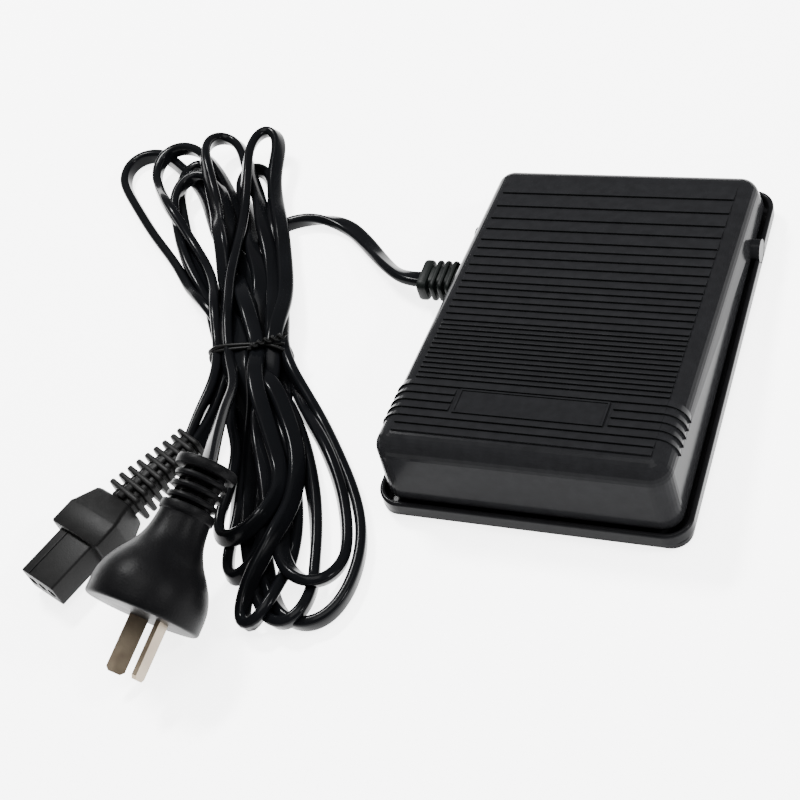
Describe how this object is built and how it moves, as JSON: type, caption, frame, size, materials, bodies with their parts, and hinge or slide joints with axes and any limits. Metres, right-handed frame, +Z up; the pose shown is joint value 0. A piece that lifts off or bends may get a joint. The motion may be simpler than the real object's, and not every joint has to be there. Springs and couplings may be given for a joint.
{
  "type": "sewing machine foot pedal",
  "caption": "Wedge-shaped electronic foot speed control with a ribbed rocking cover on a shallow base, its double lead tied in a hank with a mains plug and a machine connector.",
  "frame": {"origin": "centre of the pedal's footprint on the floor, at the underside of the rubber feet", "axes": "+X across the pedal, away from the lead's side; +Y towards the heel end, where the cover is hinged; +Z up"},
  "size_m": [0.278, 0.261, 0.0413],
  "materials": {
    "cover_black": "fine textured black moulding",
    "base_black": "fine textured black moulding",
    "foot_rubber": "soft matt rubber",
    "pin_steel": "drawn steel",
    "spring_steel": "zinc-plated spring wire",
    "screw_steel": "zinc-plated",
    "board_laminate": "paper-phenolic laminate",
    "housing_grey": "moulded",
    "track_carbon": "carbon film",
    "slider_ivory": "acetal",
    "device_black": "moulded epoxy with a plated tab",
    "sink_aluminium": "extruded",
    "ferrite": "coated powdered iron",
    "winding_copper": "enamelled copper wire",
    "capacitor_red": "epoxy coated",
    "capacitor_blue": "epoxy coated",
    "resistor_beige": "lacquered",
    "trimmer_blue": "moulded",
    "terminal_cream": "moulded",
    "clamp_grey": "moulded",
    "core_brown": "vinyl insulation over copper",
    "gland_rubber": "matt",
    "lead_black": "smooth vinyl sheath",
    "tie_black": "vinyl over soft wire",
    "connector_black": "fine textured vinyl",
    "contact_brass": "stamped and rolled",
    "plug_black": "soft matt vinyl",
    "blade_brass": "nickel-washed brass"
  },
  "bodies": {
    "base": {"base_tray": "base_black", "rubber_feet": "foot_rubber", "hinge_pins": "pin_steel", "return_springs": "spring_steel", "circuit_board": "board_laminate", "board_screws": "screw_steel", "slider_housing": "housing_grey", "resistance_track": "track_carbon", "slider_spring": "spring_steel", "triac": "device_black", "heat_sink": "sink_aluminium", "heat_sink_screw": "screw_steel", "choke_core": "ferrite", "choke_winding": "winding_copper", "film_capacitor": "capacitor_red", "timing_capacitors": "capacitor_blue", "resistors": "resistor_beige", "trim_potentiometer": "trimmer_blue", "diac": "capacitor_blue", "terminal_block": "terminal_cream", "terminal_screws": "screw_steel", "cord_clamp": "clamp_grey", "clamp_screws": "screw_steel", "core_wires": "core_brown", "cord_gland": "gland_rubber", "pedal_lead": "lead_black", "hank": "lead_black", "twist_tie": "tie_black", "connector_lead_a": "lead_black", "connector_lead_b": "lead_black", "plug_lead": "lead_black", "connector_body": "connector_black", "connector_strain_relief": "connector_black", "connector_contacts": "contact_brass", "plug_body": "plug_black", "plug_strain_relief": "plug_black", "plug_blades": "blade_brass"},
    "treadle": {"treadle_cover": "cover_black"},
    "slider": {"speed_slider": "slider_ivory"}
  },
  "joints": [
    {"name": "treadle_hinge", "type": "hinge", "parent": "base", "child": "treadle", "pos_m": [0, 0.045, 0.0082], "axis": [1, 0, 0], "range_deg": [0, 2.3], "stiffness_Nm_per_rad": 12, "springref_deg": -2.86, "deforming": ["return_springs"]},
    {"name": "slider_travel", "type": "slide", "parent": "base", "child": "slider", "axis": [0, 0, 1], "range_m": [-0.0031, 0], "deforming": ["slider_spring"]}
  ],
  "couplings": [
    {"joint": "slider_travel", "follows": "treadle_hinge", "m_per_rad": -0.075}
  ]
}
